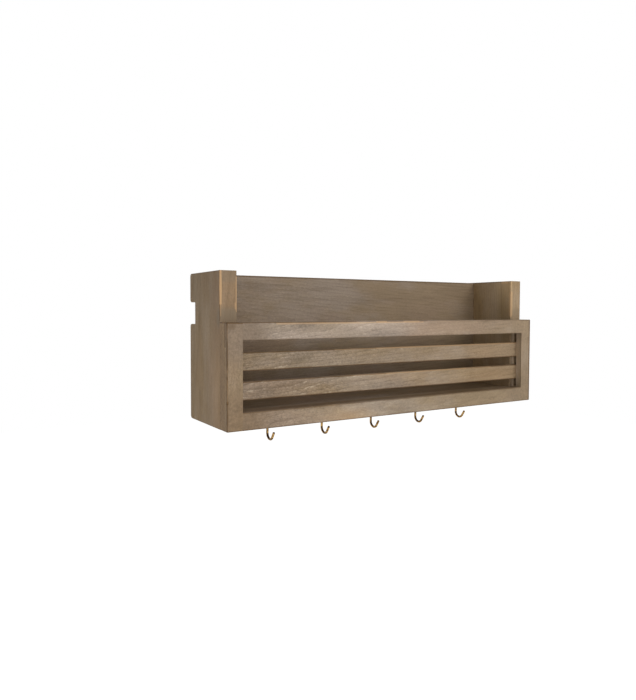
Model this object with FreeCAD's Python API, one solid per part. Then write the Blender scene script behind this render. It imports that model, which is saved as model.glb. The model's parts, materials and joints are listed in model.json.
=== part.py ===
"""Wall organizer: an open wooden box with a slatted front and cup hooks below.

Millimetres. X runs along the wall, Y = 0 is the wall and the front faces -Y, Z is up.
The origin is the middle of the mouth of the channel that takes a wall batten.
Heights in the names below are measured from the underside of the box.
"""
import FreeCAD, Part
import math
import os

# Overall sizes
overall_width = 400.0
overall_depth = 90.0
side_height = 145.0
front_height = 98.0

# Boards
side_thickness = 17.0
back_thickness = 13.5
back_below_side_tops = 0.5
bottom_thickness = 15.5

# Front frame
frame_depth = 16.0
stile_width = 15.5
top_rail_height = 16.0
bottom_rail_height = 16.5

# Slats, let into a groove in each stile
slat_names = ("lower_slat", "upper_slat")
slat_height = 17.0
slat_thickness = 5.0
slat_recess = 7.5
top_slot_extra = 1.8
groove_depth = 5.0

# Channel for a wall batten: a notch in each side board and a groove between them
channel_below_top = 28.5
channel_height = 21.5
channel_web = 4.0

# Rounded corners and eased edges
rear_corner_radius = 3.0
notch_root_radius = 1.0
board_easing = 0.5
frame_easing = 0.8

# Dowels in blind holes
dowel_diameter = 6.0
dowel_clearance = 0.05
dowel_end_gap = 1.0
dowel_chamfer = 0.6
dowel_in_side = 10.0
dowel_in_bottom = 15.0
dowel_in_back = 15.0
dowel_in_rail = 15.0
dowel_in_stile = 9.0
dowel_in_stile_back = 7.5
dowel_in_side_front = 12.0
frame_dowel_from_outside = 6.0
frame_dowel_above_base = 26.0
frame_dowel_below_top = 24.0
bottom_dowel_margin = 15.0
back_dowel_above_base = 48.0
back_dowel_below_top = 14.0

# Countersunk screws through the back board into the bottom board
screw_diameter = 3.5
screw_head_diameter = 7.0
screw_head_height = 2.2
screw_length = 32.0
screw_point = 4.0
screw_clearance = 0.05
cross_slot_width = 0.9
cross_slot_length = 4.2
cross_slot_depth = 1.4

# Cup hooks
hook_count = 5
hook_from_side = 68.5
hook_from_front = 54.0
wire_diameter = 2.5
hook_drop = 23.0
stem_length = 7.0
stem_bend_radius = 10.0
loop_radius = 5.8
loop_forward = 5.4
tip_angle = 57.0
tip_length = 5.8
collar_diameter = 7.0
collar_rim = 0.5
collar_thickness = 1.6
shank_length = 9.0
shank_point = 2.5
shank_tip_diameter = 0.6
shank_clearance = 0.05

# Planes and spacings of the box, worked out from the sizes
channel_bottom_height = side_height - channel_below_top - channel_height
base_z = -(channel_bottom_height + channel_height / 2)
front_y = -overall_depth
side_front_y = front_y + frame_depth
side_outer_x = overall_width / 2
side_inner_x = side_outer_x - side_thickness
stile_inner_x = side_outer_x - stile_width
back_front_y = -back_thickness
notch_depth = back_thickness - board_easing
channel_depth = back_thickness - channel_web
opening_bottom_z = base_z + bottom_rail_height
opening_top_z = base_z + front_height - top_rail_height
groove_front_y = front_y + slat_recess
slats_height = len(slat_names) * slat_height
slat_gap = (opening_top_z - opening_bottom_z - slats_height - top_slot_extra) / (len(slat_names) + 1)
hook_pitch = (overall_width - 2 * hook_from_side) / (hook_count - 1)

X_AXIS = FreeCAD.Vector(1, 0, 0)
Y_AXIS = FreeCAD.Vector(0, 1, 0)
Z_AXIS = FreeCAD.Vector(0, 0, 1)
TOUCH = 1e-6


def block(x_span, y_span, z_span):
    """Box between the two ends of each span."""
    low = FreeCAD.Vector(min(x_span), min(y_span), min(z_span))
    high = FreeCAD.Vector(max(x_span), max(y_span), max(z_span))
    size = high - low
    return Part.makeBox(size.x, size.y, size.z, low)


def edges_on(shape, **planes):
    """Edges that lie wholly in the given planes, such as y=front_y, z=base_z."""
    found = []
    for edge in shape.Edges:
        box = edge.BoundBox
        spans = {"x": (box.XMin, box.XMax), "y": (box.YMin, box.YMax), "z": (box.ZMin, box.ZMax)}
        if all(abs(end - value) < 1e-4 for axis, value in planes.items() for end in spans[axis]):
            found.append(edge)
    return found


def ease(shape, radius, *plane_sets):
    """Round the edges that lie in any of the given sets of planes."""
    edges = []
    for planes in plane_sets:
        edges.extend(edges_on(shape, **planes))
    return shape.makeFillet(radius, edges)


def rounded_profile(corners, x):
    """Face at x from (y, z, radius) corners, each rounded by its radius."""
    points = [FreeCAD.Vector(x, y, z) for y, z, _ in corners]
    arcs = []
    for index, (_, _, radius) in enumerate(corners):
        corner = points[index]
        towards_last = (points[index - 1] - corner).normalize()
        towards_next = (points[(index + 1) % len(points)] - corner).normalize()
        half_angle = towards_last.getAngle(towards_next) / 2
        reach = radius / math.tan(half_angle)
        bisector = (towards_last + towards_next).normalize()
        middle = corner + bisector * (radius / math.sin(half_angle) - radius)
        arcs.append((corner + towards_last * reach, middle, corner + towards_next * reach))
    edges = []
    for index, (start, middle, end) in enumerate(arcs):
        if (end - start).Length > TOUCH:
            edges.append(Part.Arc(start, middle, end).toShape())
        edges.append(Part.LineSegment(end, arcs[(index + 1) % len(arcs)][0]).toShape())
    return Part.Face(Part.Wire(edges))


def dowel(start, direction, length):
    """Chamfered dowel from start along direction."""
    radius = dowel_diameter / 2
    rod = Part.makeCylinder(radius, length, start, direction)
    return rod.makeChamfer(dowel_chamfer, [edge for edge in rod.Edges if len(edge.Vertexes) == 1])


def dowel_hole(start, direction, depth):
    """Blind hole for a dowel that reaches depth along direction from start."""
    radius = dowel_diameter / 2 + dowel_clearance
    return Part.makeCylinder(radius, depth + dowel_end_gap, start, direction)


def both_sides(places):
    """Repeat (y, z) places at the left (-1) and right (+1) end."""
    return [(side, y, z) for side in (-1, 1) for y, z in places]


def bottom_dowel_places():
    centre_z = base_z + bottom_thickness / 2
    return [(side_front_y + bottom_dowel_margin, centre_z),
            (back_front_y - bottom_dowel_margin, centre_z)]


def back_dowel_places():
    heights = (back_dowel_above_base, side_height - back_dowel_below_top)
    return [(back_front_y / 2, base_z + height) for height in heights]


def corner_dowel_places():
    centre_y = front_y + frame_depth / 2
    return [(centre_y, base_z + bottom_rail_height / 2),
            (centre_y, base_z + front_height - top_rail_height / 2)]


def frame_dowel_places():
    heights = (frame_dowel_above_base, front_height - frame_dowel_below_top)
    return [(side_front_y, base_z + height) for height in heights]


def cross_dowels(places, joint_x, outward, inward):
    """Dowels along X across a joint at joint_x, outward and inward deep."""
    return [dowel(FreeCAD.Vector(side * (joint_x + outward), y, z), X_AXIS * -side, outward + inward)
            for side, y, z in both_sides(places)]


def holes_outward(places, joint_x, depth, side):
    """Blind holes along X into the piece outside the joint, on one side."""
    return [dowel_hole(FreeCAD.Vector(side * joint_x, y, z), X_AXIS * side, depth)
            for y, z in places]


def holes_inward(places, joint_x, depth):
    """Blind holes along X into both ends of the piece between the joints."""
    return [dowel_hole(FreeCAD.Vector(side * joint_x, y, z), X_AXIS * -side, depth)
            for side, y, z in both_sides(places)]


def frame_dowel_x(side):
    return side * (side_outer_x - frame_dowel_from_outside)


def side_board(side):
    """Side board, side -1 on the left and +1 on the right."""
    top_z = base_z + side_height
    notch_bottom_z = base_z + channel_bottom_height
    notch_top_z = notch_bottom_z + channel_height
    profile = rounded_profile([
        (side_front_y, base_z, 0),
        (0, base_z, rear_corner_radius),
        (0, notch_bottom_z, rear_corner_radius),
        (-notch_depth, notch_bottom_z, notch_root_radius),
        (-notch_depth, notch_top_z, notch_root_radius),
        (0, notch_top_z, rear_corner_radius),
        (0, top_z, rear_corner_radius),
        (side_front_y, top_z, 0)], side * side_inner_x)
    board = profile.extrude(X_AXIS * side * side_thickness)
    board = ease(board, board_easing, {"x": side * side_inner_x}, {"x": side * side_outer_x})
    holes = holes_outward(bottom_dowel_places() + back_dowel_places(), side_inner_x, dowel_in_side, side)
    for y, z in frame_dowel_places():
        holes.append(dowel_hole(FreeCAD.Vector(frame_dowel_x(side), y, z), Y_AXIS, dowel_in_side_front))
    return board.cut(holes)


def back_board():
    """Back board, with the wall channel cut along its rear face."""
    channel_bottom_z = base_z + channel_bottom_height
    channel_top_z = channel_bottom_z + channel_height
    top_z = base_z + side_height - back_below_side_tops
    x_span = (-side_inner_x, side_inner_x)
    board = block(x_span, (back_front_y, 0), (base_z, top_z))
    channel = block(x_span, (-channel_depth, 0), (channel_bottom_z, channel_top_z))
    board = board.cut(channel)
    board = ease(board, board_easing, {"y": back_front_y, "z": top_z}, {"y": 0, "z": top_z},
                 {"y": 0, "z": base_z}, {"y": 0, "z": channel_bottom_z}, {"y": 0, "z": channel_top_z})
    holes = holes_inward(back_dowel_places(), side_inner_x, dowel_in_back)
    holes += [screw_body(place, screw_clearance) for place in screw_places()]
    return board.cut(holes)


def bottom_board():
    """Bottom board, with pilot holes for the hooks."""
    board = block((-side_inner_x, side_inner_x), (side_front_y, back_front_y),
                  (base_z, base_z + bottom_thickness))
    holes = holes_inward(bottom_dowel_places(), side_inner_x, dowel_in_bottom)
    holes += [screw_body(place, screw_clearance) for place in screw_places()]
    holes += [hook_shank(place, shank_clearance) for place in hook_places()]
    return board.cut(holes)


def stile(side):
    """Upright of the front frame, grooved for the slats."""
    outer_x = side * side_outer_x
    inner_x = side * stile_inner_x
    top_z = base_z + front_height
    stick = block((inner_x, outer_x), (front_y, side_front_y), (base_z, top_z))
    stick = ease(stick, frame_easing, {"x": outer_x, "y": front_y}, {"y": front_y, "z": top_z},
                 {"y": front_y, "z": base_z}, {"x": outer_x, "z": top_z}, {"x": outer_x, "z": base_z})
    groove = block((inner_x, inner_x + side * groove_depth),
                   (groove_front_y, groove_front_y + slat_thickness), (opening_bottom_z, opening_top_z))
    holes = holes_outward(corner_dowel_places(), stile_inner_x, dowel_in_stile, side)
    for y, z in frame_dowel_places():
        holes.append(dowel_hole(FreeCAD.Vector(frame_dowel_x(side), y, z), -Y_AXIS, dowel_in_stile_back))
    return stick.cut([groove] + holes)


def rail(low_z, height, outer_z):
    """Rail between the stiles; outer_z is its edge on the frame's outline."""
    stick = block((-stile_inner_x, stile_inner_x), (front_y, side_front_y), (low_z, low_z + height))
    stick = ease(stick, frame_easing, {"y": front_y, "z": outer_z})
    return stick.cut(holes_inward(corner_dowel_places(), stile_inner_x, dowel_in_rail))


def slats():
    """Slats one gap apart from the bottom rail up, their ends in the stiles' grooves."""
    half_length = stile_inner_x + groove_depth
    back_y = groove_front_y + slat_thickness
    made = {}
    for index, name in enumerate(slat_names):
        low_z = opening_bottom_z + slat_gap + index * (slat_height + slat_gap)
        high_z = low_z + slat_height
        strip = block((-half_length, half_length), (groove_front_y, back_y), (low_z, high_z))
        made[name] = ease(strip, board_easing, {"y": groove_front_y, "z": low_z},
                          {"y": groove_front_y, "z": high_z}, {"y": back_y, "z": low_z},
                          {"y": back_y, "z": high_z})
    return made


def frame_side_dowels():
    return [dowel(FreeCAD.Vector(frame_dowel_x(side), y - dowel_in_stile_back, z), Y_AXIS,
                  dowel_in_stile_back + dowel_in_side_front)
            for side, y, z in both_sides(frame_dowel_places())]


def screw_places():
    """Middle of each screw head on the back board's rear face, midway between the hooks."""
    first_x = -hook_pitch * (hook_count - 2) / 2
    return [FreeCAD.Vector(first_x + index * hook_pitch, 0, base_z + bottom_thickness / 2)
            for index in range(hook_count - 1)]


def screw_body(place, clearance):
    """Countersunk head, shank and point, turned about Y; clearance makes it a hole."""
    head = screw_head_diameter / 2 + clearance
    shank = screw_diameter / 2 + clearance
    point_y = -screw_length
    outline = [(0, 0), (head, 0), (shank, -screw_head_height), (shank, point_y + screw_point),
               (0, point_y), (0, 0)]
    points = [place + FreeCAD.Vector(r, y, 0) for r, y in outline]
    return Part.Face(Part.makePolygon(points)).revolve(place, Y_AXIS, 360)


def screw(place):
    """Screw with a cross slot in its head."""
    half = cross_slot_length / 2
    thin = cross_slot_width / 2
    depth = (place.y - cross_slot_depth, place.y)
    slots = [block((place.x - half, place.x + half), depth, (place.z - thin, place.z + thin)),
             block((place.x - thin, place.x + thin), depth, (place.z - half, place.z + half))]
    return screw_body(place, 0).cut(slots)


def hook_places():
    """Where each hook's axis meets the underside of the bottom board."""
    first_x = -hook_pitch * (hook_count - 1) / 2
    return [FreeCAD.Vector(first_x + index * hook_pitch, front_y + hook_from_front, base_z)
            for index in range(hook_count)]


def hook_shank(place, clearance):
    """Screwed end of a hook, inside the bottom board; clearance makes it a pilot hole."""
    radius = wire_diameter / 2 + clearance
    straight = Part.makeCylinder(radius, shank_length, place, Z_AXIS)
    point = Part.makeCone(radius, shank_tip_diameter / 2 + clearance, shank_point,
                          place + Z_AXIS * shank_length, Z_AXIS)
    return straight.fuse(point)


def hook_collar(place):
    """Domed collar that seats against the wood."""
    radius = collar_diameter / 2
    neck = wire_diameter / 2
    dome = Part.Arc(FreeCAD.Vector(radius, 0, -collar_rim),
                    FreeCAD.Vector((radius + neck) / 2, 0, -(collar_rim + collar_thickness) / 2 - collar_rim / 2),
                    FreeCAD.Vector(neck, 0, -collar_thickness)).toShape()
    rest = Part.makePolygon([FreeCAD.Vector(neck, 0, -collar_thickness),
                             FreeCAD.Vector(0, 0, -collar_thickness), FreeCAD.Vector(0, 0, 0),
                             FreeCAD.Vector(radius, 0, 0), FreeCAD.Vector(radius, 0, -collar_rim)])
    collar = Part.Face(Part.Wire([dome] + rest.Edges)).revolve(FreeCAD.Vector(), Z_AXIS, 360)
    collar.translate(place)
    return collar


def hook_point(place, forward, height):
    """Point of a hook's centreline, forward of and above its place on the wood."""
    return place + FreeCAD.Vector(0, -forward, height)


def hook_wire(place):
    """Bent wire: down the stem, back a little, round the loop and up to the tip."""
    loop_height = -(hook_drop - wire_diameter / 2 - loop_radius)
    knee = (0.0, -stem_length)
    across = loop_forward - knee[0]
    down = knee[1] - loop_height
    distance = math.hypot(across, down)
    lean = math.asin(loop_radius / distance) - math.atan2(across, down)
    run = math.sqrt(distance ** 2 - loop_radius ** 2)
    reach = stem_bend_radius * math.tan(lean / 2)

    def leaning(length):
        return (knee[0] - length * math.sin(lean), knee[1] - length * math.cos(lean))

    def on_loop(angle):
        """Point of the loop at an angle from straight down, forward positive."""
        return (loop_forward + loop_radius * math.sin(angle), loop_height - loop_radius * math.cos(angle))

    bend_middle = (stem_bend_radius * (math.cos(lean / 2) - 1),
                   knee[1] + reach - stem_bend_radius * math.sin(lean / 2))
    back_angle = -(math.pi / 2 + lean)
    front_angle = math.radians(tip_angle)
    tip_start = on_loop(front_angle)
    tip = (tip_start[0] + tip_length * math.cos(front_angle), tip_start[1] + tip_length * math.sin(front_angle))
    top = (0.0, -collar_rim)

    def at(point):
        return hook_point(place, *point)

    path = Part.Wire([
        Part.LineSegment(at(top), at((0.0, knee[1] + reach))).toShape(),
        Part.Arc(at((0.0, knee[1] + reach)), at(bend_middle), at(leaning(reach))).toShape(),
        Part.LineSegment(at(leaning(reach)), at(leaning(run))).toShape(),
        Part.Arc(at(leaning(run)), at(on_loop((back_angle + front_angle) / 2)), at(tip_start)).toShape(),
        Part.LineSegment(at(tip_start), at(tip)).toShape()])
    section = Part.Wire(Part.makeCircle(wire_diameter / 2, at(top), Z_AXIS))
    rod = path.makePipeShell([section], True, True)
    return rod.fuse(Part.makeSphere(wire_diameter / 2, at(tip)))


def cup_hook(place):
    """Brass cup hook: shank, collar and bent wire in one piece."""
    return hook_shank(place, 0).multiFuse([hook_collar(place), hook_wire(place)]).removeSplitter()


def build():
    """Every node's name with its solid or group of solids."""
    nodes = {
        "left_side_board": side_board(-1),
        "right_side_board": side_board(1),
        "back_board": back_board(),
        "bottom_board": bottom_board(),
        "left_stile": stile(-1),
        "right_stile": stile(1),
        "top_rail": rail(opening_top_z, top_rail_height, base_z + front_height),
        "bottom_rail": rail(base_z, bottom_rail_height, base_z),
        "frame_corner_dowels": cross_dowels(corner_dowel_places(), stile_inner_x, dowel_in_stile, dowel_in_rail),
        "frame_side_dowels": frame_side_dowels(),
        "bottom_board_dowels": cross_dowels(bottom_dowel_places(), side_inner_x, dowel_in_side, dowel_in_bottom),
        "back_board_dowels": cross_dowels(back_dowel_places(), side_inner_x, dowel_in_side, dowel_in_back),
        "back_screws": [screw(place) for place in screw_places()],
    }
    nodes.update(slats())
    for number, place in enumerate(hook_places(), 1):
        nodes["cup_hook_%d" % number] = cup_hook(place)
    return nodes


def main():
    os.makedirs("parts", exist_ok=True)
    for name, made in build().items():
        shape = Part.makeCompound(made) if isinstance(made, list) else made
        shape.exportStep(os.path.join("parts", name + ".step"))
        print("%-22s solids %d valid %s volume %.0f" % (name, len(shape.Solids), shape.isValid(), shape.Volume))


main()
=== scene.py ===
"""Looks of a wall organizer: washed wood boards, brass cup hooks and a plain pale studio."""
import json
import math

import bpy
from mathutils import Euler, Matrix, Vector

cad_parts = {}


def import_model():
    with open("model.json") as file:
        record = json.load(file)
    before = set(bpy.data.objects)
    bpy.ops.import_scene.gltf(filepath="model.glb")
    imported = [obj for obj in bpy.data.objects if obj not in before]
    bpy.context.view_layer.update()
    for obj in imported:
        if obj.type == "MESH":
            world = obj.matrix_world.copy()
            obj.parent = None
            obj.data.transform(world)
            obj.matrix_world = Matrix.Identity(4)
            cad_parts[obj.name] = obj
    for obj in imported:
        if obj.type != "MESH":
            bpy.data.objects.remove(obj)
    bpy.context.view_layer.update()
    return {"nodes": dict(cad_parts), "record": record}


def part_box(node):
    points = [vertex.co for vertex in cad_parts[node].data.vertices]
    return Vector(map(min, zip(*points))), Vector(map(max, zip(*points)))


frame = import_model()

MM = 0.001
WHITE = (1.0, 1.0, 1.0, 1.0)


def srgb(red, green, blue):
    """Linear colour of an sRGB one given from 0 to 255."""
    linear = []
    for value in (red, green, blue):
        value /= 255.0
        linear.append(value / 12.92 if value <= 0.04045 else ((value + 0.055) / 1.055) ** 2.4)
    return (*linear, 1.0)


class Graph:
    """Short ways to add nodes to a shader tree and join them."""

    # Sockets of the mix node that belong to colours
    MIX_SHARE, MIX_FIRST, MIX_SECOND, MIX_RESULT = 0, 6, 7, 2

    def __init__(self, tree):
        self.tree = tree
        tree.nodes.clear()

    def add(self, kind, inputs=(), **settings):
        """A node of that kind, with its settings and its inputs set or linked."""
        node = self.tree.nodes.new(kind)
        for name, value in settings.items():
            setattr(node, name, value)
        for key, value in dict(inputs).items():
            if isinstance(value, bpy.types.NodeSocket):
                self.tree.links.new(value, node.inputs[key])
            else:
                node.inputs[key].default_value = value
        return node

    def math(self, operation, first, second=0.0):
        return self.add("ShaderNodeMath", {0: first, 1: second}, operation=operation).outputs[0]

    def sum(self, *terms):
        total = terms[0]
        for term in terms[1:]:
            total = self.math("ADD", total, term)
        return total

    def times(self, first, second):
        return self.math("MULTIPLY", first, second)

    def vector(self, operation, first, second=(0, 0, 0)):
        node = self.add("ShaderNodeVectorMath", {0: first, 1: second}, operation=operation)
        return node.outputs[1] if operation in ("LENGTH", "DISTANCE") else node.outputs[0]

    def scaled(self, vector, gain):
        """A vector or colour times one number."""
        return self.add("ShaderNodeVectorMath", {0: vector, "Scale": gain}, operation="SCALE").outputs[0]

    def parts(self, vector):
        """The X, Y and Z of a vector."""
        return self.add("ShaderNodeSeparateXYZ", {0: vector}).outputs

    def joined(self, x=0.0, y=0.0, z=0.0):
        """The vector of an X, Y and Z."""
        return self.add("ShaderNodeCombineXYZ", {0: x, 1: y, 2: z}).outputs[0]

    def step(self, value, low, high, to_low=0.0, to_high=1.0):
        """Smooth change from to_low to to_high while value goes from low to high."""
        inputs = {"Value": value, "From Min": low, "From Max": high, "To Min": to_low, "To Max": to_high}
        node = self.add("ShaderNodeMapRange", inputs, interpolation_type="SMOOTHSTEP")
        return node.outputs["Result"]

    def mix(self, share, first, second):
        """The first colour where the share is 0 and the second where it is 1."""
        inputs = {self.MIX_SHARE: share, self.MIX_FIRST: first, self.MIX_SECOND: second}
        return self.add("ShaderNodeMix", inputs, data_type="RGBA").outputs[self.MIX_RESULT]

    def place(self):
        """The place on the piece, in metres in the frame."""
        return self.add("ShaderNodeTexCoord").outputs["Object"]

    def noise(self, place, scale, detail, roughness):
        """Noise from 0 to 1; scale is in cycles per metre of place."""
        inputs = {"Vector": place, "Scale": scale, "Detail": detail, "Roughness": roughness}
        return self.add("ShaderNodeTexNoise", inputs).outputs[0]

    def swing(self, noise, gain):
        """Noise that swings about 0 in place of about a half, times a gain."""
        return self.times(self.math("SUBTRACT", noise, 0.5), gain)

    def bump(self, height, strength, distance):
        inputs = {"Strength": strength, "Distance": distance, "Height": height}
        return self.add("ShaderNodeBump", inputs).outputs[0]

    def finish(self, shader, output="ShaderNodeOutputMaterial"):
        self.tree.links.new(shader, self.add(output).inputs["Surface"])


def new_material(name):
    material = bpy.data.materials.new(name)
    material.use_nodes = True
    return material, Graph(material.node_tree)


# Planes and edges of the organizer in millimetres, from the frame; left and right mirror each other

LOW, HIGH = 0, 1


def corner(node, end):
    """The lowest or highest corner of a node in millimetres."""
    return Vector(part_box(node)[end]) / MM


OUTSIDE = corner("right_side_board", HIGH).x
INSIDE = corner("right_side_board", LOW).x
SIDE_FRONT = corner("right_side_board", LOW).y
SIDE_TOP = corner("right_side_board", HIGH).z
BACK_FRONT = corner("back_board", LOW).y
BACK_TOP = corner("back_board", HIGH).z
RAIL_END = corner("top_rail", HIGH).x
FRONT = corner("top_rail", LOW).y
FRAME_TOP = corner("top_rail", HIGH).z
FRAME_BOTTOM = corner("bottom_rail", LOW).z
BOTTOM_RAIL_TOP = corner("bottom_rail", HIGH).z
SLAT_FRONT = corner("upper_slat", LOW).y
UPPER_SLAT_TOP = corner("upper_slat", HIGH).z
LOWER_SLAT_TOP = corner("lower_slat", HIGH).z


# Wood: colours

WASH_GREY = srgb(158, 143, 127)
WASH_WARM = srgb(152, 132, 106)
WASH_OLIVE = srgb(137, 120, 93)
WASH_PINK = srgb(151, 129, 109)
WASH_THICK = srgb(127, 113, 94)
GRAIN_DARK = srgb(92, 73, 53)
GRAIN_PALE = srgb(205, 192, 174)
TAN_WEAR_AND_HIGHLIGHT = srgb(198, 160, 117)
BROWN_STAIN_AND_SHADE = srgb(90, 65, 36)

# Each board: the way its grain runs, the axis across its wide face, a shift into the noise, a tint, how
# grey its wash is, how olive its greener stretches are, how strong its fibres and its mottling are, how
# pale its arcs of early wood are, how brown its arrises are stained, how much of that stain is left where
# it thins, and how far its arrises are worn to tan wood in spots. Its grain runs on across the axes and
# sides it is joined along, where its end or edge doesn't show as an arris. A board like another goes on
# with its grain, and has its tint away from its front and inner faces.
SIDE_WOOD = dict(grain="Z", across="Y", grey=0.25, olive=0.6, fibres=0.6, mottle=0.40, arcs=0.1,
                 thinned=0.45, worn=0.4)
WALL_WOOD = dict(grain="X", across="Z", olive=0.35, fibres=1.0, mottle=1.0, thinned=0.85, worn=0.12,
                 joined="X")
BOARDS = {
    # The side boards' warm tint is partly their own tone and partly painted warm shade on their shaded
    # faces; the stiles' sides take it on too.
    "left_side_board": dict(SIDE_WOOD, seed=1.0, tint=(0.98, 0.885, 0.72), stained=0.35, joined="front"),
    "right_side_board": dict(SIDE_WOOD, seed=2.0, tint=(1.03, 0.94, 0.77), stained=0.35, joined="front"),
    "left_stile": dict(SIDE_WOOD, like="left_side_board", seed=1.0, tint=(0.89, 0.85, 0.76), mottle=0.9,
                       stained=1.0, joined="right back"),
    "right_stile": dict(SIDE_WOOD, like="right_side_board", seed=2.0, tint=(0.89, 0.86, 0.79), grey=0.5,
                        mottle=0.6, stained=0.9, joined="left back"),
    # The back board's dark tint is painted shade over the whole board.
    "back_board": dict(WALL_WOOD, seed=3.0, tint=(0.78, 0.76, 0.74), grey=0.4, mottle=0.5, arcs=0.2,
                       stained=0.3),
    "bottom_board": dict(WALL_WOOD, across="Y", seed=4.0, tint=(0.9, 0.86, 0.82), grey=0.4, mottle=0.5,
                         arcs=0.1, stained=0.2, joined="XY"),
    "top_rail": dict(WALL_WOOD, seed=7.0, tint=(0.93, 0.92, 0.93), grey=0.95, arcs=0.4, stained=0.25),
    "bottom_rail": dict(WALL_WOOD, seed=8.0, tint=(0.92, 0.91, 0.88), grey=0.55, arcs=0.2, stained=0.7),
    "lower_slat": dict(WALL_WOOD, seed=9.0, tint=(0.90, 0.865, 0.81), grey=0.6, arcs=1.0, stained=1.0),
    "upper_slat": dict(WALL_WOOD, seed=10.0, tint=(0.93, 0.90, 0.87), grey=0.5, arcs=0.9, stained=1.0),
}
FRAME_BOARDS = ("left_stile", "right_stile", "top_rail", "bottom_rail")


# Wood: soft patches and lines, placed in millimetres

# Where a board is lighter or darker, in its tone or as painted light: middle, reach along each axis and
# gain
TONE_AND_LIGHT_PATCHES = {
    "top_rail": [((-28, FRONT, -16), (162, 40, 60), 0.26),
                 ((-58, FRONT, -8), (56, 14, 9), 0.24),
                 ((-24, FRONT, -25), (60, 14, 13), -0.48),
                 ((-122, FRONT, -9), (28, 14, 11), -0.24),
                 ((75, FRONT, -16), (50, 20, 14), 0.12)],
    "bottom_rail": [((-20, FRONT, -98), (150, 40, 60), 0.12),
                    ((-8, FRONT, -98), (45, 20, 30), -0.15),
                    ((-165, FRONT, -103), (40, 20, 12), 0.10)],
    "lower_slat": [((50, SLAT_FRONT, -60), (160, 40, 60), 0.15),
                   ((-175, SLAT_FRONT, -71), (40, 20, 20), -0.09),
                   ((-10, SLAT_FRONT, -63), (75, 14, 10), 0.18),
                   ((0, SLAT_FRONT, -78), (60, 14, 12), -0.27),
                   ((125, SLAT_FRONT, -77), (55, 14, 12), -0.18)],
    "upper_slat": [((-124, SLAT_FRONT, -41), (34, 20, 15), -0.20),
                   ((125, SLAT_FRONT, -52), (60, 14, 12), -0.22)],
    # Painted light on the right stile's inner face
    "right_stile": [((184, FRONT + 10, -57), (6, 14, 60), 0.95)],
    "left_side_board": [((-OUTSIDE, -45, 45), (50, 90, 75), -0.17),
                        ((-191, SIDE_FRONT, -8), (14, 6, 26), -0.16),
                        ((-OUTSIDE, SIDE_FRONT, -70), (10, 30, 60), 0.30)],
    # Painted light on the upper front of the right side board's inner face
    "right_side_board": [((INSIDE, SIDE_FRONT, 40), (4, 40, 44), 0.62)],
}

# Where the wash is worn thin over tan wood: middle, reach along each axis and share
THIN_PATCHES = {
    "bottom_rail": [((-70, FRONT, -103), (48, 14, 12), 0.30)],
    "lower_slat": [((135, SLAT_FRONT, -73), (65, 14, 16), 0.20)],
    "upper_slat": [((130, SLAT_FRONT, -46), (45, 14, 14), 0.12)],
}


def along_x(start, end, y, z, reach, share):
    """A line from left to right: its ends, its reach and its share at the middle."""
    return (start, y, z), (end, y, z), reach, share


def along_y(x, start, end, z, reach, share):
    """A line from back to front."""
    return (x, start, z), (x, end, z), reach, share


def along_z(x, y, start, end, reach, share):
    """An upright line."""
    return (x, y, start), (x, y, end), reach, share


# Lines of brown stain, and one of painted shade over the bottom rail's top face
STAIN_AND_SHADE_LINES = {
    "left_stile": [along_x(-199, -184, FRONT + 2.5, FRAME_TOP, 2.4, 0.9),
                   along_x(-199, -184, FRONT, FRAME_TOP - 0.45, 1.3, 0.8),
                   along_x(-197, -194, FRONT, -11, 4.0, 0.35),
                   along_z(-OUTSIDE, FRONT + 4, -9, -29, 1.8, 0.6),
                   along_z(-OUTSIDE, FRONT, -50, -104, 0.9, 0.5),
                   along_z(-OUTSIDE, FRONT, -79, -80, 1.6, 1.0)],
    "right_stile": [along_z(OUTSIDE, FRONT, -9, -104, 3.0, 0.85)],
    "lower_slat": [along_x(110, 182, SLAT_FRONT, -70, 6.0, 0.17)],
    "top_rail": [along_x(-185, 30, FRONT + 2.5, FRAME_TOP, 2.6, 0.9),
                 along_x(-185, -60, FRONT, FRAME_TOP - 0.15, 1.1, 0.8),
                 along_x(-60, 34, FRONT, FRAME_TOP - 0.15, 0.9, 0.6),
                 along_x(30, 184, FRONT + 2, FRAME_TOP, 2.2, 0.4)],
    "bottom_rail": [along_x(-185, 185, FRONT, FRAME_BOTTOM + 0.25, 1.0, 0.7),
                    # Painted shade: a brown band over the bottom rail's top face
                    along_x(-184, 184, FRONT + 9, BOTTOM_RAIL_TOP, 8.0, 0.55)],
    "left_side_board": [along_z(-OUTSIDE, SIDE_FRONT, -6, SIDE_TOP, 1.0, 0.5)],
    "right_side_board": [along_y(INSIDE, BACK_FRONT, -60, SIDE_TOP - 0.25, 1.4, 0.5),
                         along_z(OUTSIDE, SIDE_FRONT, -5, 38, 1.2, 0.8)],
    "back_board": [along_x(-INSIDE, INSIDE, BACK_FRONT, BACK_TOP - 0.35, 1.4, 0.7)],
}

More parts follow.
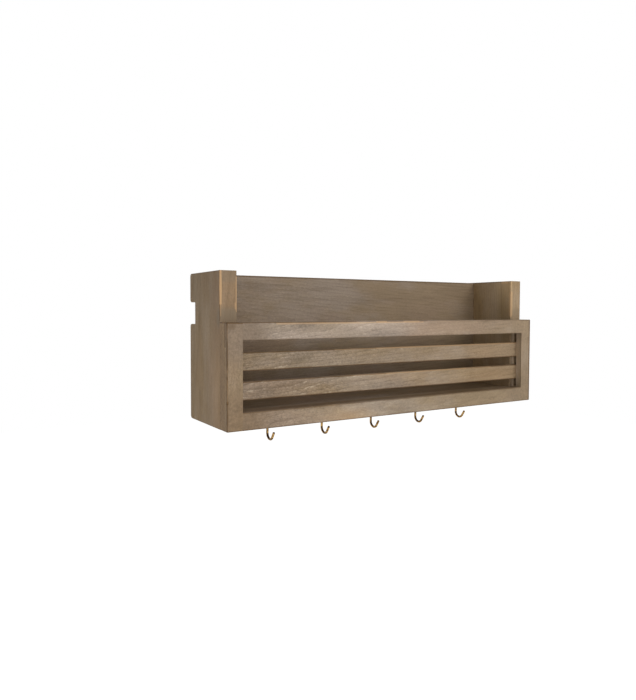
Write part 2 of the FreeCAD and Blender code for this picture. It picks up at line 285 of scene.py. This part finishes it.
# Stretches of arris rubbed through to tan wood, on the slats' upper arrises partly a painted highlight
RUBBED_AND_HIGHLIGHT_LINES = {
    "left_side_board": [along_z(-INSIDE, SIDE_FRONT, 2, 33, 1.2, 0.85),
                        along_z(-INSIDE, SIDE_FRONT, 5, 9, 2.6, 0.6),
                        along_z(-199, SIDE_FRONT, 9, SIDE_TOP - 0.75, 1.4, 0.8),
                        along_z(-199, SIDE_FRONT, -2, 9, 0.7, 0.3)],
    "right_side_board": [along_z(184, SIDE_FRONT, -2, 24, 3.4, 0.5),
                         along_y(INSIDE, -68, -61, 38, 2.4, 0.6)],
    "right_stile": [along_z(OUTSIDE, FRONT, -36, -22, 1.0, 0.5),
                    along_z(OUTSIDE, FRONT, -80, -70, 1.0, 0.5)],
    "top_rail": [along_x(-150, 28, FRONT, FRAME_TOP - 1.55, 0.9, 0.45),
                 along_x(-34, -22, FRONT, FRAME_TOP - 0.85, 1.6, 0.6),
                 along_x(2, 22, FRONT, FRAME_TOP - 0.85, 1.6, 0.5)],
    # On the upper arrises of both slats the tan line is partly rubbed wear and partly a painted highlight
    "upper_slat": [along_x(-80, -20, SLAT_FRONT, UPPER_SLAT_TOP, 1.3, 0.2),
                   along_x(-28, 183, SLAT_FRONT, UPPER_SLAT_TOP, 1.5, 0.42)],
    "lower_slat": [along_x(-60, 140, SLAT_FRONT, LOWER_SLAT_TOP, 1.3, 0.2),
                   along_x(-15, 100, SLAT_FRONT, LOWER_SLAT_TOP, 1.5, 0.42)],
}

# Stretches where the wash lies thicker and greyer: two opposite corners, reach and share
THICK = {
    "left_side_board": [((-198, SIDE_FRONT, -6), (-186, SIDE_FRONT, -2), 9.0, 0.65),
                        ((-196, SIDE_FRONT, 35), (-186, SIDE_FRONT, 38), 9.0, 0.4)],
    "right_side_board": [((188, SIDE_FRONT, -6), (196, SIDE_FRONT, 0), 7.0, 0.4)],
}

# A line is full up to the first of these times its reach and gone at the second; its outline is ragged
LINE_FULL, LINE_GONE = 0.4, 1.1
LINE_RAGGEDNESS = 1.2 * MM


def box_distance(graph, point, start, end):
    """Distance from a point to the box between two corners, a line where they differ along one axis."""
    low = [min(pair) * MM for pair in zip(start, end)]
    high = [max(pair) * MM for pair in zip(start, end)]
    nearest = graph.vector("MINIMUM", graph.vector("MAXIMUM", point, low), high)
    return graph.vector("DISTANCE", point, nearest)


def near_lines(graph, point, lines, ragged):
    """Strongest share of any of the lines at a point, with a ragged outline."""
    strongest = 0.0
    for start, end, reach, share in lines:
        away = graph.sum(box_distance(graph, point, start, end), graph.swing(ragged, LINE_RAGGEDNESS))
        here = graph.step(away, LINE_FULL * reach * MM, LINE_GONE * reach * MM, share, 0.0)
        strongest = graph.math("MAXIMUM", strongest, here)
    return strongest


def soft_patch(graph, point, middle, reach, strength):
    """Strength at the middle of a patch, fading to nothing at its reach along each axis."""
    away = graph.vector("SUBTRACT", point, tuple(Vector(middle) * MM))
    away = graph.vector("LENGTH", graph.vector("DIVIDE", away, tuple(Vector(reach) * MM)))
    return graph.step(away, 0.0, 1.0, strength, 0.0)


# Wood: grain

# The heart of the log behind the middle of a board, as (along the grain, across the face, through it)
HEART = Vector((0, 20, 30)) * MM
RING_SPACING = 2.3 * MM
RING_TAPER = 0.045

# Bends of the rings: how many times they are drawn out along the grain, scale and reach
RING_BENDS = ((8.0, 26.0, 16 * MM), (5.0, 110.0, 2.5 * MM))
BEND_DETAIL, BEND_ROUGHNESS = 2.0, 0.5

# Spans between two rings in which late wood grows and early wood ends
LATE_WOOD = (0.55, 0.98)
EARLY_WOOD = (0.0, 0.35)

# Noises: how many times each is drawn out along the grain, scale, detail and roughness
NOISES = {
    "fine_fibre": (16.0, 1500.0, 3.0, 0.6),
    "fibre": (14.0, 460.0, 3.0, 0.6),
    "band": (16.0, 110.0, 3.0, 0.6),
    "blotch": (2.6, 30.0, 4.0, 0.6),
    "hue": (3.5, 17.0, 3.0, 0.5),
    "cloud": (2.0, 75.0, 3.0, 0.6),
    "speckle": (1.8, 520.0, 3.0, 0.7),
    "fleck": (2.2, 1150.0, 2.0, 0.6),
    "ragged": (4.0, 160.0, 4.0, 0.65),
}
SEED_STEP = Vector((0.37, 0.53, 0.71))


def turned_to_grain(graph, point, origin, board):
    """The point from the origin as (along the grain, across the face, through the board)."""
    parts = graph.parts(graph.vector("SUBTRACT", point, tuple(origin)))
    grain, across = board["grain"], board["across"]
    through = ({"X", "Y", "Z"} - {grain, across}).pop()
    return graph.joined(parts[grain], parts[across], parts[through])


def drawn_out(graph, place, times):
    """The place with its length along the grain shortened, so that what is drawn there is drawn out."""
    return graph.vector("MULTIPLY", place, (1.0 / times, 1.0, 1.0))


def growth_rings(graph, local, place):
    """Place between two rings, from 0 to 1, for a log whose heart lies behind the face and tapers."""
    across_heart = graph.vector("MULTIPLY", graph.vector("SUBTRACT", local, tuple(HEART)), (0, 1, 1))
    taper = graph.times(graph.parts(local)[0], RING_TAPER)
    radius = graph.sum(graph.vector("LENGTH", across_heart), taper)
    for times, scale, reach in RING_BENDS:
        bend = graph.noise(drawn_out(graph, place, times), scale, BEND_DETAIL, BEND_ROUGHNESS)
        radius = graph.sum(radius, graph.times(bend, reach))
    return graph.math("FRACT", graph.times(radius, 1 / RING_SPACING))


# Wood: arrises

# How far a board is made longer where it is joined, in metres
JOINED_REACH = 1.0


def shown_box(name):
    """A board's box, made longer where it is joined so that no arris is drawn there."""
    low, high = [Vector(end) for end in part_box(name)]
    joined = BOARDS[name]["joined"]
    for index, (axis, low_side, high_side) in enumerate((("X", "left", "right"), ("Y", "front", "back"))):
        if axis in joined or low_side in joined:
            low[index] -= JOINED_REACH
        if axis in joined or high_side in joined:
            high[index] += JOINED_REACH
    return low, high


def arris_distance(graph, point, low, high):
    """Distance from a point on a board's surface to its nearest straight edge."""
    from_low = graph.vector("SUBTRACT", point, tuple(low))
    from_high = graph.vector("SUBTRACT", tuple(high), point)
    x, y, z = graph.parts(graph.vector("MINIMUM", from_low, from_high))
    nearer = graph.math("MINIMUM", x, y)
    farther = graph.math("MAXIMUM", x, y)
    return graph.math("MAXIMUM", nearer, graph.math("MINIMUM", farther, z))


# Wood: the material, put on in layers

# Spans of noise in which the wash turns grey, pink or olive; a board that is grey turns so earlier
GREY_MIDDLE, GREY_HALF_SPAN, GREY_EARLIER = 0.60, 0.14, 0.22
PINK_SPAN, PINK_SHARE = (0.50, 0.66), 0.6
OLIVE_SPAN = (0.34, 0.50)

# Along the wall: the wash gets less grey to the right, the arcs and part of the mottling get weaker to the
# right, and the left end is darker
LESS_GREY_SPAN, LESS_GREY = (-50 * MM, 150 * MM), 0.16
WEAKER_SPAN, WEAKEST = (-120 * MM, 60 * MM), 0.25
WEAKENED_MOTTLING = 0.5
LEFT_END_SPAN, LEFT_END_GAIN = (-185 * MM, -110 * MM), -0.10

# Dark grain: a noise, the span in which it starts to show, and its share; late wood is darker among arcs
DARK_GRAIN = (("band", (0.50, 0.72), 0.24),
              ("fibre", (0.54, 0.74), 0.22),
              ("fine_fibre", (0.56, 0.78), 0.26))
LATE_SHARE, LATE_SHARE_IN_ARCS = 0.12, 0.16

# Pale arcs show where two noises are in these spans
ARC_SPECKLE_SPAN = (0.46, 0.62)
ARC_CLOUD_SPAN, ARC_SHARE = (0.42, 0.60), 0.62

# Mottling: a noise and how far it changes the brightness
MOTTLING = (("blotch", 0.40), ("cloud", 0.55), ("speckle", 0.90), ("fleck", 0.85))

# Depth behind the front of the frame, and behind the stiles' inner faces, where a face's own tint ends
FRONT_TINT_SPAN = ((FRONT + 1) * MM, (FRONT + 2) * MM)
INSIDE_TINT_SPAN = ((RAIL_END + 0.5) * MM, (RAIL_END + 2.5) * MM)

# One wash runs over the joints at the frame's corners: the middle of a corner from the frame's own middle,
# where the wash fades, how far its outline and brightness vary, and its colours
FRAME_MIDDLE_Z = (FRAME_TOP + FRAME_BOTTOM) / 2 * MM
CORNER_MIDDLE = Vector((192, 0, 41)) * MM
CORNER_FADE_SPAN, CORNER_SHARE = (15 * MM, 42 * MM), 0.8
CORNER_CLOUD, CORNER_FINE = (90.0, 4.0, 0.6), (420.0, 4.0, 0.65)
CORNER_RAGGEDNESS = 14 * MM
CORNER_CLOUD_GAIN, CORNER_FINE_GAIN = 0.55, 1.10
CORNER_COLOURS = {"left top": srgb(132, 114, 96), "left bottom": srgb(127, 105, 80),
                  "right top": srgb(144, 124, 99), "right bottom": srgb(134, 115, 92)}

# The arrises: how ragged their outline is, how far stain and wear reach, and where they thin
ARRIS_RAGGEDNESS = 0.9 * MM
STAIN_SPAN, STAIN_SHARE = (0.50 * MM, 1.35 * MM), 0.9
WORN_SPAN = (0.2 * MM, 0.8 * MM)
WORN_CLOUD_SPAN = (0.56, 0.64)
THINNING, THINNING_SPAN = (45.0, 2.0, 0.5), (0.40, 0.58)

# Relief and gloss
FIBRE_RELIEF, FINE_FIBRE_RELIEF, LATE_WOOD_RELIEF = 0.5, 0.35, -0.12
RELIEF_STRENGTH, RELIEF_DEPTH = 0.5, 0.25 * MM
ROUGHNESS_SPAN, ROUGHNESS = (0.3, 0.7), (0.54, 0.68)
WOOD_SPECULAR = 0.25


class WashedWood:
    """Grey-brown washed wood for one board."""

    def __init__(self, name):
        self.name = name
        self.board = BOARDS[name]
        self.like = self.board.get("like", name)
        self.along_wall = self.board["grain"] == "X"
        self.material, self.graph = new_material("washed_wood_" + name)
        graph = self.graph
        self.point = graph.place()
        self.x, self.y, self.z = graph.parts(self.point)
        low, high = [Vector(end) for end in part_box(self.like)]
        local = turned_to_grain(graph, self.point, (low + high) / 2, self.board)
        place = graph.vector("ADD", local, tuple(SEED_STEP * self.board["seed"]))
        self.noises = {}
        for noise, (times, scale, detail, roughness) in NOISES.items():
            self.noises[noise] = graph.noise(drawn_out(graph, place, times), scale, detail, roughness)
        ring = growth_rings(graph, local, place)
        self.late_wood = graph.step(ring, *LATE_WOOD)
        self.early_wood = graph.step(ring, *EARLY_WOOD, 1.0, 0.0)
        self.weaker = graph.step(self.x, *WEAKER_SPAN, 1.0, WEAKEST if self.along_wall else 1.0)

    def wash(self):
        """Grey or warm wash in blotches, with pink and olive stretches."""
        graph, hue = self.graph, self.noises["hue"]
        less_grey = graph.step(self.x, *LESS_GREY_SPAN, 0.0, LESS_GREY if self.along_wall else 0.0)
        greyness = graph.math("SUBTRACT", self.noises["blotch"], less_grey)
        middle = GREY_MIDDLE - GREY_EARLIER * self.board["grey"]
        is_grey = graph.step(greyness, middle - GREY_HALF_SPAN, middle + GREY_HALF_SPAN)
        colour = graph.mix(is_grey, WASH_WARM, WASH_GREY)
        colour = graph.mix(graph.step(hue, *PINK_SPAN, 0.0, PINK_SHARE), colour, WASH_PINK)
        return graph.mix(graph.step(hue, *OLIVE_SPAN, self.board["olive"], 0.0), colour, WASH_OLIVE)

    def grain(self, colour):
        """Dark fibres and late wood, and short pale arcs of early wood that the wash has filled."""
        graph = self.graph
        for noise, span, share in DARK_GRAIN:
            shown = graph.step(self.noises[noise], *span, 0.0, share * self.board["fibres"])
            colour = graph.mix(shown, colour, GRAIN_DARK)
        arcs = graph.times(self.weaker, self.board["arcs"])
        late_share = graph.sum(graph.times(arcs, LATE_SHARE_IN_ARCS), LATE_SHARE)
        colour = graph.mix(graph.times(self.late_wood, late_share), colour, GRAIN_DARK)
        pale = graph.times(self.early_wood, graph.step(self.noises["speckle"], *ARC_SPECKLE_SPAN))
        pale = graph.times(pale, graph.step(self.noises["cloud"], *ARC_CLOUD_SPAN, 0.0, ARC_SHARE))
        return graph.mix(graph.times(pale, arcs), colour, GRAIN_PALE)

    def brightness(self):
        """Light and dark mottling, weaker to the right along the wall, and the soft patches, some of which
        are painted light.
        """
        graph = self.graph
        mottle = graph.sum(graph.times(self.weaker, WEAKENED_MOTTLING), 1.0 - WEAKENED_MOTTLING)
        mottle = graph.times(mottle, self.board["mottle"])
        swings = [graph.swing(self.noises[noise], share) for noise, share in MOTTLING]
        gain = graph.sum(graph.times(graph.sum(*swings), mottle), 1.0)
        for patch in TONE_AND_LIGHT_PATCHES.get(self.name, ()):
            gain = graph.sum(gain, soft_patch(graph, self.point, *patch))
        if self.along_wall:
            gain = graph.sum(gain, graph.step(self.x, *LEFT_END_SPAN, LEFT_END_GAIN, 0.0))
        return gain

    def on_front(self):
        """1 on the front face of the frame, 0 behind it."""
        return self.graph.step(self.y, *FRONT_TINT_SPAN, 1.0, 0.0)

    def tint(self, colour):
        """The board's tint, and on the sides of a stile that of its side board; the back board's tint is
        painted shade, and the side boards' tint is partly painted warm shade.
        """
        graph = self.graph
        on_inside = graph.step(graph.math("ABSOLUTE", self.x), *INSIDE_TINT_SPAN, 1.0, 0.0)
        own = graph.math("MAXIMUM", self.on_front(), on_inside)
        tint = graph.mix(own, (*BOARDS[self.like]["tint"], 1.0), (*self.board["tint"], 1.0))
        return graph.vector("MULTIPLY", colour, tint)

    def thin_patches(self, colour):
        """Tan wood showing through where the wash is worn thin."""
        graph = self.graph
        for patch in THIN_PATCHES.get(self.name, ()):
            colour = graph.mix(soft_patch(graph, self.point, *patch), colour, TAN_WEAR_AND_HIGHLIGHT)
        return colour

    def corner_wash(self, colour):
        """Near the frame's corners, the wash that the boards joined there share."""
        graph = self.graph
        z = graph.math("SUBTRACT", self.z, FRAME_MIDDLE_Z)
        flat = graph.joined(graph.math("ABSOLUTE", self.x), 0.0, graph.math("ABSOLUTE", z))
        cloud = graph.noise(self.point, *CORNER_CLOUD)
        fine = graph.noise(self.point, *CORNER_FINE)
        away = graph.vector("DISTANCE", flat, tuple(CORNER_MIDDLE))
        away = graph.sum(away, graph.swing(cloud, CORNER_RAGGEDNESS))
        share = graph.times(self.on_front(), graph.step(away, *CORNER_FADE_SPAN, CORNER_SHARE, 0.0))
        is_right = graph.math("GREATER_THAN", self.x, 0.0)
        is_top = graph.math("GREATER_THAN", z, 0.0)
        left = graph.mix(is_top, CORNER_COLOURS["left bottom"], CORNER_COLOURS["left top"])
        right = graph.mix(is_top, CORNER_COLOURS["right bottom"], CORNER_COLOURS["right top"])
        gain = graph.sum(graph.swing(cloud, CORNER_CLOUD_GAIN), graph.swing(fine, CORNER_FINE_GAIN), 1.0)
        return graph.mix(share, colour, graph.scaled(graph.mix(is_right, left, right), gain))

    def arrises(self, colour):
        """Arrises stained brown in a line that thins in places, and rubbed through to tan wood; the listed
        lines also paint shade on the bottom rail's top face and a highlight along the slats' upper
        arrises.
        """
        graph, board, ragged = self.graph, self.board, self.noises["ragged"]
        distance = arris_distance(graph, self.point, *shown_box(self.name))
        edge = graph.sum(distance, graph.swing(ragged, ARRIS_RAGGEDNESS))

        def lines(table):
            return near_lines(graph, self.point, table.get(self.name, ()), ragged)

        colour = graph.mix(lines(THICK), colour, WASH_THICK)
        thinned = graph.step(graph.noise(self.point, *THINNING), *THINNING_SPAN, board["thinned"], 1.0)
        stain = graph.times(graph.step(edge, *STAIN_SPAN, board["stained"] * STAIN_SHARE, 0.0), thinned)
        colour = graph.mix(graph.math("MAXIMUM", stain, lines(STAIN_AND_SHADE_LINES)), colour, BROWN_STAIN_AND_SHADE)
        in_spots = graph.step(self.noises["cloud"], *WORN_CLOUD_SPAN)
        worn = graph.times(graph.step(edge, *WORN_SPAN, board["worn"], 0.0), in_spots)
        return graph.mix(graph.math("MAXIMUM", worn, lines(RUBBED_AND_HIGHLIGHT_LINES)), colour, TAN_WEAR_AND_HIGHLIGHT)

    def finish(self, colour):
        """The shader, with the fibres and rings in relief."""
        graph, fibre = self.graph, self.noises["fibre"]
        relief = graph.sum(graph.times(fibre, FIBRE_RELIEF),
                           graph.times(self.noises["fine_fibre"], FINE_FIBRE_RELIEF),
                           graph.times(self.late_wood, LATE_WOOD_RELIEF))
        shader = graph.add("ShaderNodeBsdfPrincipled", {
            "Base Color": colour,
            "Roughness": graph.step(fibre, *ROUGHNESS_SPAN, *ROUGHNESS),
            "Normal": graph.bump(relief, RELIEF_STRENGTH, RELIEF_DEPTH),
            "Specular IOR Level": WOOD_SPECULAR})
        graph.finish(shader.outputs[0])
        return self.material


def washed_wood(name):
    """Washed wood for one board: wash, grain, mottling and patches, then its corners and arrises."""
    wood = WashedWood(name)
    colour = wood.grain(wood.wash())
    colour = wood.graph.scaled(wood.tint(colour), wood.brightness())
    colour = wood.thin_patches(colour)
    if name in FRAME_BOARDS:
        colour = wood.corner_wash(colour)
    return wood.finish(wood.arrises(colour))


# Wood: the dowels

DOWEL_PALE = srgb(214, 184, 140)
DOWEL_BROWN = srgb(186, 150, 104)
DOWEL_BROWN_SPAN = (0.35, 0.7)
DOWEL_DRAWN_OUT = (0.15, 1.0, 1.0)
DOWEL_FIBRE = (900.0, 3.0, 0.6)
DOWEL_ROUGHNESS = 0.6


def dowel_wood():
    """Bare pale dowels with a straight grain."""
    material, graph = new_material("dowel_wood")
    fibre = graph.noise(graph.vector("MULTIPLY", graph.place(), DOWEL_DRAWN_OUT), *DOWEL_FIBRE)
    colour = graph.mix(graph.step(fibre, *DOWEL_BROWN_SPAN), DOWEL_PALE, DOWEL_BROWN)
    shader = graph.add("ShaderNodeBsdfPrincipled", {"Base Color": colour, "Roughness": DOWEL_ROUGHNESS})
    graph.finish(shader.outputs[0])
    return material


# Metals: colours, noises as scale, detail and roughness, and the least and most tarnish, partly painted
# dark reflection, and gloss

BRASS = srgb(190, 152, 92)
# The dark brown is partly tarnish and partly a painted dark reflection
BRASS_TARNISH_AND_DARK_REFLECTION = srgb(62, 38, 14)
TARNISH_AND_REFLECTION_PATCHES = (420.0, 4.0, 0.6)
TARNISH_AND_REFLECTION_SPAN, TARNISH_AND_REFLECTION_SHARE = (0.36, 0.58), (0.10, 0.92)
BRASS_ROUGHNESS_SPAN, BRASS_ROUGHNESS = (0.4, 0.7), (0.10, 0.22)
SCRATCHES = (3200.0, 2.0, 0.6)
SCRATCHES_DRAWN_OUT = (1.0, 1.0, 0.3)
SCRATCH_ROUGHNESS, SCRATCH_RELIEF, SCRATCH_DEPTH = 0.06, 0.15, 0.05 * MM

ZINC = srgb(196, 196, 190)
ZINC_DULL = srgb(150, 148, 138)
ZINC_PATCHES = (700.0, 4.0, 0.6)
ZINC_ROUGHNESS_SPAN, ZINC_ROUGHNESS = (0.3, 0.7), (0.25, 0.45)


def hook_brass():
    """Polished brass with a thin dark brown that gathers in patches, partly tarnish and partly painted
    dark reflection.
    """
    material, graph = new_material("hook_brass")
    point = graph.place()
    patches = graph.noise(point, *TARNISH_AND_REFLECTION_PATCHES)
    scratches = graph.noise(graph.vector("MULTIPLY", point, SCRATCHES_DRAWN_OUT), *SCRATCHES)
    colour = graph.mix(graph.step(patches, *TARNISH_AND_REFLECTION_SPAN, *TARNISH_AND_REFLECTION_SHARE), BRASS, BRASS_TARNISH_AND_DARK_REFLECTION)
    roughness = graph.sum(graph.step(patches, *BRASS_ROUGHNESS_SPAN, *BRASS_ROUGHNESS),
                          graph.times(scratches, SCRATCH_ROUGHNESS))
    shader = graph.add("ShaderNodeBsdfPrincipled", {
        "Base Color": colour, "Metallic": 1.0, "Roughness": roughness,
        "Normal": graph.bump(scratches, SCRATCH_RELIEF, SCRATCH_DEPTH)})
    graph.finish(shader.outputs[0])
    return material


def screw_steel():
    """Zinc-plated steel, dull in patches."""
    material, graph = new_material("screw_steel")
    patches = graph.noise(graph.place(), *ZINC_PATCHES)
    colour = graph.mix(patches, ZINC, ZINC_DULL)
    roughness = graph.step(patches, *ZINC_ROUGHNESS_SPAN, *ZINC_ROUGHNESS)
    shader = graph.add("ShaderNodeBsdfPrincipled", {
        "Base Color": colour, "Metallic": 1.0, "Roughness": roughness})
    graph.finish(shader.outputs[0])
    return material


def dress(name, material):
    """Give a CAD node one material."""
    slots = frame["nodes"][name].data.materials
    slots.clear()
    slots.append(material)


def dress_nodes():
    slot_material = {"dowel_wood": dowel_wood(), "hook_brass": hook_brass(), "screw_steel": screw_steel()}
    for row in frame["record"]["subparts"]:
        name = row["node"]
        if name in BOARDS:
            dress(name, washed_wood(name))
        else:
            dress(name, slot_material[row["material_slot"]])


# Studio, in metres

FLOOR_BELOW = 0.65
FLOOR_HALF = 3.0
FLOOR_COLOUR = (0.86, 0.86, 0.86, 1.0)
FLOOR_WHITE = 0.60
WORLD_FILL = 0.50

# What metal mirrors: a dim room in front, whose strength rises to white towards the back
ROOM_IN_FRONT = 0.05
ROOM_SPAN = (-0.1, 0.85)
LAMPS = {
    "key": dict(place=(0.9, -1.6, 0.9), size=1.1, power=17.0),
    "front": dict(place=(-0.5, -2.0, 0.3), size=1.4, power=9.0),
}
AIM = Vector((0, -45, -40)) * MM


def seen_directly(graph):
    """1 for camera, mirror and glass rays, 0 for the rays that only light things."""
    path = graph.add("ShaderNodeLightPath").outputs
    seen = graph.math("MAXIMUM", path["Is Camera Ray"], path["Is Glossy Ray"])
    return graph.math("MAXIMUM", seen, path["Is Transmission Ray"])


def floor():
    """Pale floor well below the organizer; it is white to the camera and keeps a faint shadow."""
    corners = [(x, y, -FLOOR_BELOW) for x, y in ((-FLOOR_HALF, -FLOOR_HALF), (FLOOR_HALF, -FLOOR_HALF),
                                                 (FLOOR_HALF, FLOOR_HALF), (-FLOOR_HALF, FLOOR_HALF))]
    mesh = bpy.data.meshes.new("floor")
    mesh.from_pydata(corners, [], [(0, 1, 2, 3)])
    plane = bpy.data.objects.new("floor", mesh)
    bpy.context.scene.collection.objects.link(plane)
    material, graph = new_material("floor_white")
    share = graph.times(seen_directly(graph), FLOOR_WHITE)
    white = graph.add("ShaderNodeEmission", {"Color": WHITE, "Strength": share})
    matt = graph.add("ShaderNodeBsdfDiffuse", {"Color": FLOOR_COLOUR})
    both = graph.add("ShaderNodeAddShader", {0: matt.outputs[0], 1: white.outputs[0]})
    graph.finish(both.outputs[0])
    mesh.materials.append(material)


def world():
    """White where it is seen, a plain soft fill where it lights, and a dim room in front for metal."""
    made = bpy.data.worlds.new("studio")
    bpy.context.scene.world = made
    made.use_nodes = True
    graph = Graph(made.node_tree)
    seen = seen_directly(graph)
    direction = graph.add("ShaderNodeTexCoord").outputs["Generated"]
    back = graph.parts(direction)[1]
    mirrored = graph.add("ShaderNodeLightPath").outputs["Is Glossy Ray"]
    room = graph.times(mirrored, graph.step(back, *ROOM_SPAN, 1.0 - ROOM_IN_FRONT, 0.0))
    strength = graph.math("SUBTRACT", 1.0, room)
    white = graph.add("ShaderNodeBackground", {"Color": WHITE, "Strength": strength})
    fill = graph.add("ShaderNodeBackground", {"Color": WHITE, "Strength": WORLD_FILL})
    mixed = graph.add("ShaderNodeMixShader", {0: seen, 1: fill.outputs[0], 2: white.outputs[0]})
    graph.finish(mixed.outputs[0], "ShaderNodeOutputWorld")


def lamps():
    for name, lamp in LAMPS.items():
        data = bpy.data.lights.new(name, "AREA")
        data.shape = "SQUARE"
        data.size = lamp["size"]
        data.energy = lamp["power"]
        light = bpy.data.objects.new(name, data)
        light.location = lamp["place"]
        light.rotation_euler = (AIM - Vector(lamp["place"])).to_track_quat("-Z", "Y").to_euler()
        bpy.context.scene.collection.objects.link(light)


# Camera: its place in millimetres, its angles in degrees, its focal length and centre in pixels

IMAGE_WIDTH, IMAGE_HEIGHT = 636, 700
CAMERA_PLACE = Vector((-421.10, -591.58, 3.42)) * MM
CAMERA_YAW = 31.184
CAMERA_DOWN = 2.200
CAMERA_ROLL = 0.125
FOCAL_PIXELS = 617.4
VIEW_CENTRE = (306.901, 333.671)
SENSOR = 36.0


def camera():
    data = bpy.data.cameras.new("camera")
    data.sensor_fit = "HORIZONTAL"
    data.sensor_width = SENSOR
    data.lens = SENSOR * FOCAL_PIXELS / IMAGE_WIDTH
    data.shift_x = (IMAGE_WIDTH / 2 - VIEW_CENTRE[0]) / IMAGE_WIDTH
    data.shift_y = (VIEW_CENTRE[1] - IMAGE_HEIGHT / 2) / IMAGE_WIDTH
    seen = bpy.data.objects.new("camera", data)
    seen.location = CAMERA_PLACE
    seen.rotation_mode = "QUATERNION"
    level = Euler((math.radians(90 - CAMERA_DOWN), 0, math.radians(-CAMERA_YAW))).to_quaternion()
    roll = Euler((0, 0, math.radians(CAMERA_ROLL))).to_quaternion()
    seen.rotation_quaternion = level @ roll
    bpy.context.scene.collection.objects.link(seen)
    bpy.context.scene.camera = seen


bpy.context.scene.view_settings.view_transform = "Standard"
dress_nodes()
floor()
world()
lamps()
camera()
